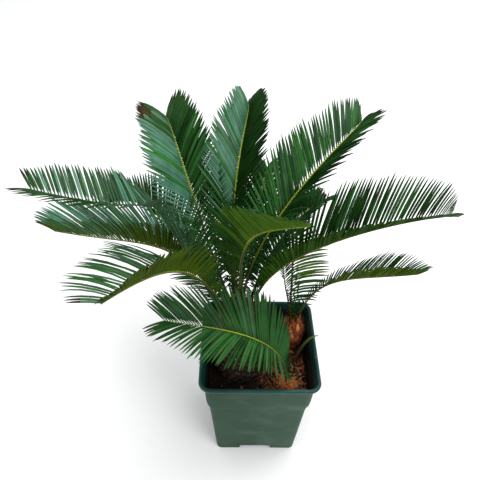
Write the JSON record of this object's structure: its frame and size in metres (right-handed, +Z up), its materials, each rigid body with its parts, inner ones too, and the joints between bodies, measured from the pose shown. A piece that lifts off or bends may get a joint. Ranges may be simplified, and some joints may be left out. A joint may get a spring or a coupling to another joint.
{
  "type": "potted sago palm",
  "caption": "Small sago palm in a square plastic nursery pot: round netted caudex, a ring of arching folded fronds, side offsets and a low front frond.",
  "frame": {"origin": "centre of the flat pad under the pot's floor, level with its corner feet", "axes": "+Z up along the pot's axis, +X to the right and -Y to the front of the pictured view, square to the pot's sides"},
  "size_m": [0.5771, 0.5591, 0.593],
  "materials": {
    "pot_plastic": "matt injection-moulded plastic with dusty smudges, glossier on the rolled rim",
    "soil": "damp potting mix with bark chips and fibres",
    "bark": "dark brown netted caudex of old leaf bases with brown wool",
    "offset_bark": "reddish-brown scales and orange wool",
    "spear": "smooth rolled young leaf, green over an orange-brown base",
    "frond": "leathery leaflets, satin green above and olive below, on yellow-green ribs"
  },
  "bodies": {
    "root": {"pot": "pot_plastic", "soil": "soil", "caudex": "bark", "offset_caudex": "offset_bark", "front_offset": "offset_bark", "spear": "spear", "frond_left_high_lower": "frond", "frond_left_high_upper": "frond", "frond_left_low_lower": "frond", "frond_left_low_upper": "frond", "frond_front_left_lower": "frond", "frond_front_left_upper": "frond", "frond_back_left_lower": "frond", "frond_back_left_upper": "frond", "frond_back_lower": "frond", "frond_back_upper": "frond", "frond_back_right_lower": "frond", "frond_back_right_upper": "frond", "frond_front_short_lower": "frond", "frond_front_short_upper": "frond", "frond_right_lower": "frond", "frond_right_upper": "frond", "frond_back_inner_lower": "frond", "frond_back_inner_upper": "frond", "frond_right_inner_lower": "frond", "frond_right_inner_upper": "frond", "frond_back_low_lower": "frond", "frond_back_low_upper": "frond", "frond_left_back_lower": "frond", "frond_left_back_upper": "frond", "offset_frond_right_lower": "frond", "offset_frond_right_upper": "frond", "offset_frond_upright_lower": "frond", "offset_frond_upright_upper": "frond", "offset_frond_left_lower": "frond", "offset_frond_left_upper": "frond", "front_offset_frond_lower": "frond", "front_offset_frond_upper": "frond"}
  },
  "joints": []
}
